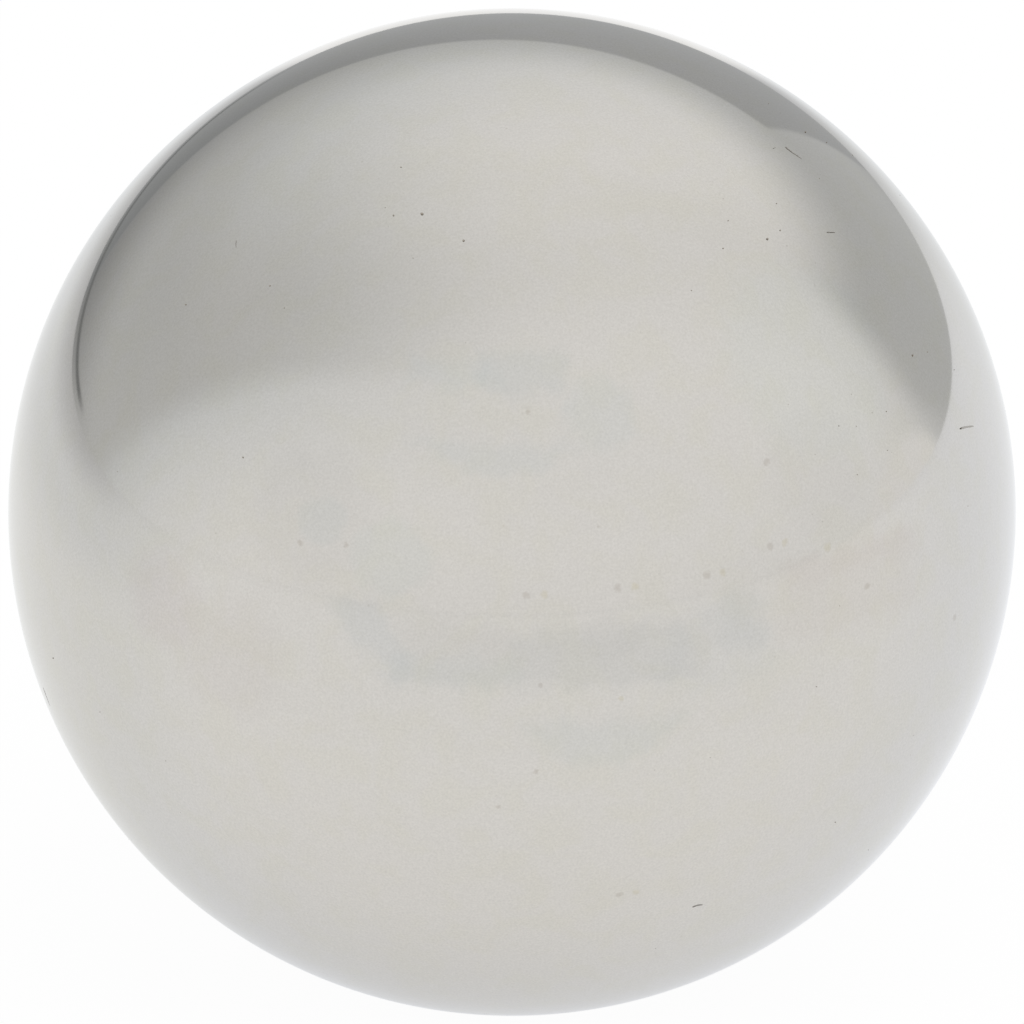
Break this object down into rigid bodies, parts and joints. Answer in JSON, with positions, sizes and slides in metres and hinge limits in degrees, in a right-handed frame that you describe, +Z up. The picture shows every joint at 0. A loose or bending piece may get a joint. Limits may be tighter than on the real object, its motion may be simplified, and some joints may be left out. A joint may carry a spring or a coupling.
{
  "type": "steel ball",
  "caption": "Solid polished steel ball for bearings, rolling and bench use.",
  "frame": {"origin": "centre of the ball", "axes": "+Z up, away from the seat that the ball rests in; a ball has no other direction of its own"},
  "size_m": [0.0254, 0.0254, 0.0254],
  "materials": {
    "polished_steel": "through-hardened bearing steel, ground, lapped and polished to a mirror, with light handling specks"
  },
  "bodies": {
    "root": {"ball": "polished_steel"}
  },
  "joints": []
}
